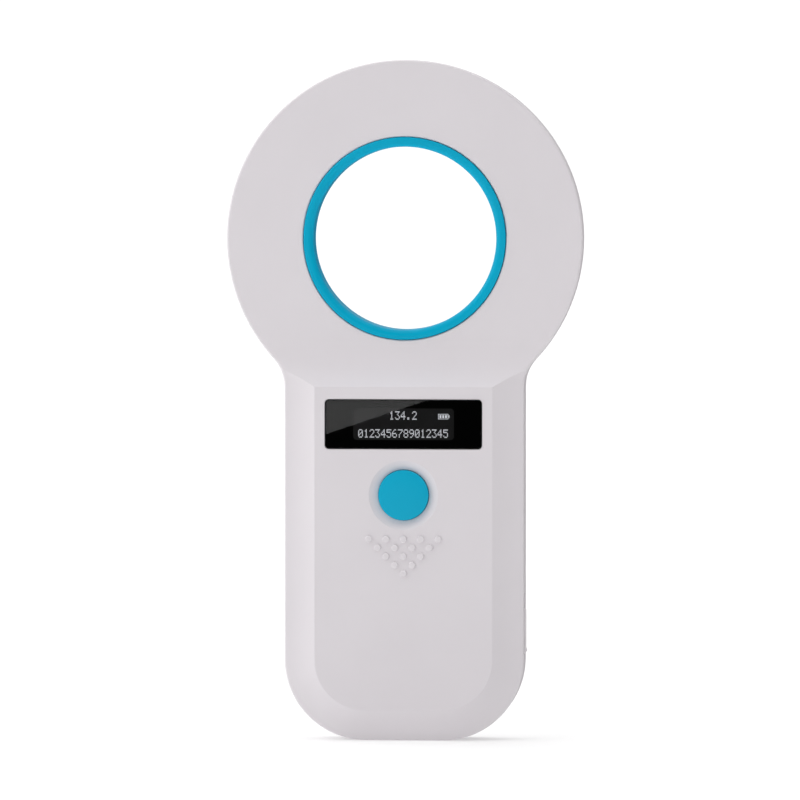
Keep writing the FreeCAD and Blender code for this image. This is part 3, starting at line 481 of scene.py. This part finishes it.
def steel(name, dark, light, rough, streak=(1.0, 1.0, 1.0)):
    """Bright metal with drawn streaks along one axis, and a fine tarnish in its gloss."""
    made, shader, place = material(name, Metallic=1.0)
    drawn, tarnish = place.stretched(*streak).noise(0.0006, 3.0), place.noise(0.002)
    feed(shader,
         Base_Color=(drawn * 0.6 + tarnish * 0.4).between(dark, light),
         Roughness=(drawn * 0.5 + tarnish * 0.5).spread(*rough),
         Normal=drawn.bump(0.000006, 0.5))
    return made


for node, legs_up_and_down in (("processor_chip", True), ("reader_chip", False), ("charger_chip", False)):
    low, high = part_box(node)
    half_width = (high.x - low.x) / 2 - CHIP_LEG_REACH
    half_height = (high.z - low.z) / 2 - CHIP_LEG_REACH * legs_up_and_down + CHIP_BODY_SPARE
    wear(node, tinned_beyond(node, half_width, half_height, shade_of(26, 26, 28), shade_of(40, 40, 42)))

zinc = steel("zinc_plate", shade_of(140, 142, 144), shade_of(182, 184, 186), (0.26, 0.42))
drawn_steel = steel(
    "drawn_steel", shade_of(150, 152, 154), shade_of(196, 197, 198), (0.2, 0.36), (0.1, 1.0, 1.0))
wear("main_board", board_mask())
wear("board_screws", zinc)
wear("tuning_capacitors", capped("tuning_capacitors", shade_of(170, 136, 96), shade_of(190, 158, 118)))
wear("board_resistors", capped("board_resistors", shade_of(22, 22, 25), shade_of(40, 40, 44)))
wear("clock_crystal", drawn_steel)
wear("charger_inductor", one_colour(
    "ferrite", shade_of(58, 58, 62), shade_of(84, 84, 88), (0.55, 0.75), 0.001, 0.0002, 0.00003))
wear("sounder", black_nylon)

# ---------------------------------------------------------------- battery
# Flat lithium cell in aluminium laminate with a strip of amber tape over its sealed top edge, stuck to a
# foam pad in the rear shell's fence. Its red and black leads plug into the rear of the board.
cell_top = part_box("battery_cell")[1].z
CELL_TAPE = 0.004              # height of the taped strip


def cell_laminate():
    """Satin aluminium laminate with broad soft creases, its colour darker in their dips and lighter on their
    crests as painted shade; the taped strip is amber film with the same painted shade.
    """
    made, shader, place = material("cell_laminate", IOR=1.5)
    _, _, z = place.axes()
    tape = z > cell_top - CELL_TAPE
    crease_and_shade, grain = place.noise(0.007, 3.0), place.noise(0.0002)
    # painted shade: the laminate's and the tape's colours follow the crease bumps, darker in the dips and
    # lighter on the crests
    feed(shader,
         Base_Color=tape.between(
             crease_and_shade.between(shade_of(172, 174, 178), shade_of(204, 206, 208)),
             crease_and_shade.between(shade_of(190, 124, 34), shade_of(212, 148, 52))),
         Metallic=1.0 - tape,
         Roughness=(crease_and_shade * 0.6 + grain * 0.4).spread(0.3, 0.46),
         Normal=(crease_and_shade * 0.9 + grain * 0.1).bump(0.0001, 0.5))
    return made


wear("battery_cell", cell_laminate())
wear("battery_pad", foam_skin("pad_foam", shade_of(196, 196, 194), shade_of(226, 226, 224), 0.0004))
wear("battery_plug", ivory_nylon)
wear("battery_socket", ivory_nylon)
wear("battery_lead_positive", red_sleeve)
wear("battery_lead_negative", one_colour(
    "black_sleeve", shade_of(20, 20, 21), shade_of(36, 36, 38), (0.3, 0.45), 0.0015, 0.0002, 0.000006))

# ---------------------------------------------------------------- display
# A hard-coated clear lens over a black printed mask with a clear window. Behind it a small lit display
# glass stands in a black carrier, and an amber ribbon folds back from it to a socket on the board.
lens_low, lens_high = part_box("display_lens")
glass_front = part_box("display_glass")[0].y


def lens_acrylic():
    """Clear acrylic with a very slight unevenness in its polish."""
    made, shader, place = material(
        "lens_acrylic", IOR=1.49, Transmission_Weight=1.0, Base_Color=(0.9, 0.9, 0.92, 1.0))
    feed(shader, Roughness=place.noise(0.004).spread(0.0, 0.012))
    return made


def mask_ink():
    """Dense black ink with a faint screen-printed unevenness."""
    made, shader, place = material("mask_ink", Specular_IOR_Level=0.1)
    feed(shader,
         Base_Color=place.noise(0.002).between((0.0008, 0.0008, 0.001, 1), (0.0015, 0.0015, 0.0018, 1)),
         Roughness=place.noise(0.0006).spread(0.6, 0.7))
    return made


def display_glass():
    """Black glass that glows very faintly where its panel is lit."""
    made, shader, place = material("display_black", Emission_Strength=1.0, Specular_IOR_Level=0.2)
    tone = place.noise(0.003)
    feed(shader,
         Base_Color=tone.between((0.004, 0.004, 0.004, 1), (0.006, 0.006, 0.006, 1)),
         Roughness=tone.spread(0.3, 0.36),
         Emission_Color=tone.between((0.0075, 0.0075, 0.0075, 1), (0.0085, 0.0085, 0.0085, 1)))
    return made


def pixel_light():
    """Lit white pixels, a little uneven."""
    made, shader, place = material(
        "pixel_light", Base_Color=(0.4, 0.4, 0.4, 1), Roughness=0.5, Emission_Strength=1.0)
    feed(shader, Emission_Color=place.noise(0.0006).between((0.5, 0.52, 0.55, 1), (0.66, 0.68, 0.7, 1)))
    return made


wear("display_lens", lens_acrylic())
wear("lens_mask", mask_ink())
wear("display_glass", display_glass())
wear("display_carrier", black_nylon)
wear("display_ribbon", amber_film)
wear("ribbon_socket", ivory_nylon)

# Rows of a five-by-seven dot numeral, top row first: each number below gives a row's dots as five bits.
NUMERALS = {
    "0": (14, 17, 19, 21, 25, 17, 14), "1": (4, 12, 4, 4, 4, 4, 14), "2": (14, 17, 1, 2, 4, 8, 31),
    "3": (31, 2, 4, 2, 1, 17, 14), "4": (2, 6, 10, 18, 31, 2, 2), "5": (31, 16, 30, 1, 1, 17, 14),
    "6": (6, 8, 16, 30, 17, 17, 14), "7": (31, 1, 2, 4, 8, 8, 8), "8": (14, 17, 17, 14, 17, 17, 14),
    "9": (14, 17, 17, 15, 1, 2, 12), ".": (0, 0, 0, 0, 0, 12, 12),
}
NUMERAL_COLUMNS = 5
DIGIT_STEP = 0.00140           # from one numeral to the next
PIXEL = np.array([0.000233, 0.00030])
PIXEL_FILL = 0.86              # lit part of each pixel
PIXEL_FRONT, PIXEL_BACK = 0.00006, 0.00001   # in front of the display glass
LONG_ROW, LONG_ROW_TOP = "0123456789012345", -0.00125      # each row's top, from the lens's middle
SHORT_ROW, SHORT_ROW_LEFT, SHORT_ROW_TOP = "134.2", -0.0035, 0.0032
GAUGE = np.array([0.0025, 0.0013])          # the charge gauge's outline
GAUGE_PLACE = np.array([0.0098, 0.0019])
GAUGE_LINE = 0.00014
GAUGE_BAR, GAUGE_BAR_STEP = (0.00046, 0.00074), 0.00068
GAUGE_TIP, GAUGE_TIP_GAP = (0.00022, 0.0006), 0.00018


def lit_dots(text, corner):
    """Centres (x, z) of the lit pixels of a line of numerals whose top left corner is given."""
    cells = [
        (place * DIGIT_STEP + (column + 0.5) * PIXEL[0], -(row + 0.5) * PIXEL[1])
        for place, character in enumerate(text)
        for row, bits in enumerate(NUMERALS[character])
        for column in range(NUMERAL_COLUMNS)
        if bits >> (NUMERAL_COLUMNS - 1 - column) & 1
    ]
    return corner + np.array(cells)


def bars(centres, sizes, front, back):
    """Closed flat blocks: one for each centre (x, z) with its size (width, height), between two depths."""
    corners = np.array([(sx, sy, sz) for sy in (0, 1) for sz in (-0.5, 0.5) for sx in (-0.5, 0.5)])
    count = len(centres)
    points = np.empty((count, 8, 3))
    points[:, :, 0] = centres[:, None, 0] + corners[None, :, 0] * sizes[:, None, 0]
    points[:, :, 1] = front + corners[None, :, 1] * (back - front)
    points[:, :, 2] = centres[:, None, 1] + corners[None, :, 2] * sizes[:, None, 1]
    sides = np.array([(0, 1, 3, 2), (4, 6, 7, 5), (0, 4, 5, 1), (2, 3, 7, 6), (0, 2, 6, 4), (1, 5, 7, 3)])
    faces = (np.arange(count)[:, None, None] * 8 + sides[None]).reshape(-1, 4)
    return points.reshape(-1, 3), faces


def charge_gauge():
    """A battery outline, its tip and three full bars: each one's centre and size about the gauge's middle."""
    wide, high = GAUGE / 2 - GAUGE_LINE / 2
    centres = [(0, high), (0, -high), (-wide, 0), (wide, 0), (GAUGE[0] / 2 + GAUGE_TIP_GAP, 0)]
    sizes = [(GAUGE[0], GAUGE_LINE)] * 2 + [(GAUGE_LINE, GAUGE[1] - 2 * GAUGE_LINE)] * 2 + [GAUGE_TIP]
    for step in (-1, 0, 1):
        centres.append((step * GAUGE_BAR_STEP, 0))
        sizes.append(GAUGE_BAR)
    return np.array(centres), np.array(sizes)


lens_middle = np.array([(lens_low.x + lens_high.x) / 2, (lens_low.z + lens_high.z) / 2])
dots = np.vstack([
    lit_dots(LONG_ROW, lens_middle + (-len(LONG_ROW) * DIGIT_STEP / 2, LONG_ROW_TOP)),
    lit_dots(SHORT_ROW, lens_middle + (SHORT_ROW_LEFT, SHORT_ROW_TOP)),
])
gauge_centres, gauge_sizes = charge_gauge()
numerals = new_piece(
    "display_numerals",
    *bars(np.vstack([dots, gauge_centres + lens_middle + GAUGE_PLACE]),
          np.vstack([np.tile(PIXEL * PIXEL_FILL, (len(dots), 1)), gauge_sizes]),
          glass_front - PIXEL_FRONT, glass_front - PIXEL_BACK),
    pixel_light(), "display_black", smooth=False)
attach(numerals, "housing")

# ---------------------------------------------------------------- scan button
# One moulded button with a shallow dome and a flange behind the panel. It presses a sealed push switch:
# a black housing with a steel cover, a plunger and a snap dome.
TEAL = shade_of(0, 176, 212)
TEAL_DEEP = shade_of(0, 168, 204)


def teal_plastic(name, roughness, gloss):
    """Teal plastic with soft flow marks and fine scratches; its roughness runs up from the given value."""
    made, shader, place = material(name, IOR=1.5, Specular_IOR_Level=gloss)
    flow, fine = place.noise(0.011), place.noise(0.0004)
    feed(shader,
         Base_Color=flow.between(TEAL_DEEP, TEAL),
         Roughness=(flow * 0.6 + fine * 0.4).spread(roughness, roughness + 0.08),
         Normal=fine.bump(0.000006, 0.4))
    return made


wear("scan_button", teal_plastic("button_teal", 0.3, 0.2))
wear("switch_housing", black_nylon)
wear("switch_cover", drawn_steel)
wear("switch_plunger", black_nylon)
wear("switch_dome", drawn_steel)

# ---------------------------------------------------------------- charging port and its cover
# A steel socket on the board faces the right side. A soft silicone cover plugs it and hangs from a strap,
# whose fixed end is pinned through the shell; the real strap folds as the cover swings out, and here a fixed
# silicone sleeve covers it at the hinge.
strap_low, strap_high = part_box("cover_anchor")
STRAP_THICKNESS, STRAP_SKIN = 0.0008, 0.00003
FOLD_TOP, FOLD_BOTTOM = 0.0015, -0.0006      # the skin's ends from the hinge, over the fixed end and the cover


def silicone():
    """Matt off-white silicone with a faint bloom and a fine spark-eroded grain."""
    made, shader, place = material("silicone", IOR=1.41, Sheen_Weight=0.08, Specular_IOR_Level=0.3)
    bloom, grain = place.noise(0.003, 3.0), place.noise(0.00018)
    feed(shader,
         Base_Color=bloom.between(shade_of(216, 211, 214), shade_of(226, 222, 225)),
         Roughness=(bloom * 0.5 + grain * 0.5).spread(0.6, 0.75),
         Normal=grain.bump(0.000012, 0.7))
    return made


def strap_bar(middle, half_thickness, half_width, bottom, top, rows=33, columns=48):
    """The rings of a round-edged upright bar, one above another, each a superellipse, |x|^6 + |y|^6 = 1."""
    around = np.linspace(0.0, 2 * math.pi, columns, endpoint=False)
    across = half_thickness * np.sign(np.cos(around)) * np.abs(np.cos(around)) ** (1 / 3)
    along = half_width * np.sign(np.sin(around)) * np.abs(np.sin(around)) ** (1 / 3)
    x, z = np.meshgrid(middle.x + across, middle.z + np.linspace(bottom, top, rows))
    return np.stack([x, np.broadcast_to(middle.y + along, x.shape), z], axis=-1)


def sleeved(rings):
    """A closed surface from rings one above another, with a fan over each end: points and faces."""
    rows, columns = rings.shape[:2]
    index = np.arange(rows * columns).reshape(rows, columns)
    right = np.roll(index, -1, axis=1)
    faces = [np.stack([index[:-1], right[:-1], right[1:], index[1:]], axis=-1).reshape(-1, 4)]
    for middle, ring in ((rows * columns, index[0, ::-1]), (rows * columns + 1, index[-1])):
        even, odd = ring[0::2], ring[1::2]
        faces.append(np.stack([np.full_like(even, middle), even, odd, np.roll(even, -1)], axis=-1))
    ends = [rings[0].mean(axis=0), rings[-1].mean(axis=0)]
    return np.concatenate([rings.reshape(-1, 3), ends]), np.concatenate(faces)


hinge = Vector(next(joint["pos_m"] for joint in frame["joints"] if joint["name"] == "cover_swing"))
rubber = silicone()
strap_fold = new_piece(
    "strap_fold",
    *sleeved(strap_bar(
        hinge, STRAP_THICKNESS / 2 + STRAP_SKIN, (strap_high.y - strap_low.y) / 2 + STRAP_SKIN,
        FOLD_BOTTOM, FOLD_TOP)),
    rubber, "grey_silicone")
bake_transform(strap_fold)
wear("charging_socket", drawn_steel)
wear("socket_tongue", black_nylon)
wear("port_cover", rubber)
wear("cover_anchor", rubber)

# ---------------------------------------------------------------- antenna ring
# A teal sleeve through the head's hole, moulded in one piece with round lips, and held by a rib between
# the two shells.
wear("antenna_ring", teal_plastic("ring_teal", 0.3, 0.12))

# ---------------------------------------------------------------- case screws and rear label
# Six zinc-plated cross-head screws close the case from behind. A blank silver film label with ruled lines
# sits in a shallow recess in the rear shell.
label_low, label_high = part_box("rear_label")
LABEL_MARGIN, LABEL_RULE = 0.0012, 0.00018
LABEL_ROWS = 4


def label_film():
    """Silver film with a printed grey frame and evenly spaced rules inside it."""
    made, shader, place = material("label_film", IOR=1.5, Specular_IOR_Level=0.4)
    x, _, z = place.axes()
    middle = (label_low + label_high) / 2
    half_width = (label_high.x - label_low.x) / 2 - LABEL_MARGIN
    half_height = (label_high.z - label_low.z) / 2 - LABEL_MARGIN
    off_x, off_z = abs(x - middle.x), abs(z - middle.z)
    inside = (off_x < half_width) * (off_z < half_height)
    inner = (off_x < half_width - LABEL_RULE) * (off_z < half_height - LABEL_RULE)
    step = 2 * half_height / LABEL_ROWS
    from_bottom = z - (middle.z - half_height)
    phase = from_bottom.math("MODULO", from_bottom, step)
    rule = inner * (phase < LABEL_RULE)
    ink = inside - inner + rule
    tone, grain = place.noise(0.006, 3.0), place.noise(0.0003)
    feed(shader,
         Base_Color=ink.between(
             tone.between(shade_of(206, 207, 209), shade_of(218, 219, 221)), shade_of(120, 122, 126)),
         Roughness=(tone * 0.5 + grain * 0.5).spread(0.34, 0.46),
         Normal=grain.bump(0.000006, 0.5))
    return made


wear("case_screws", zinc)
wear("rear_label", label_film())
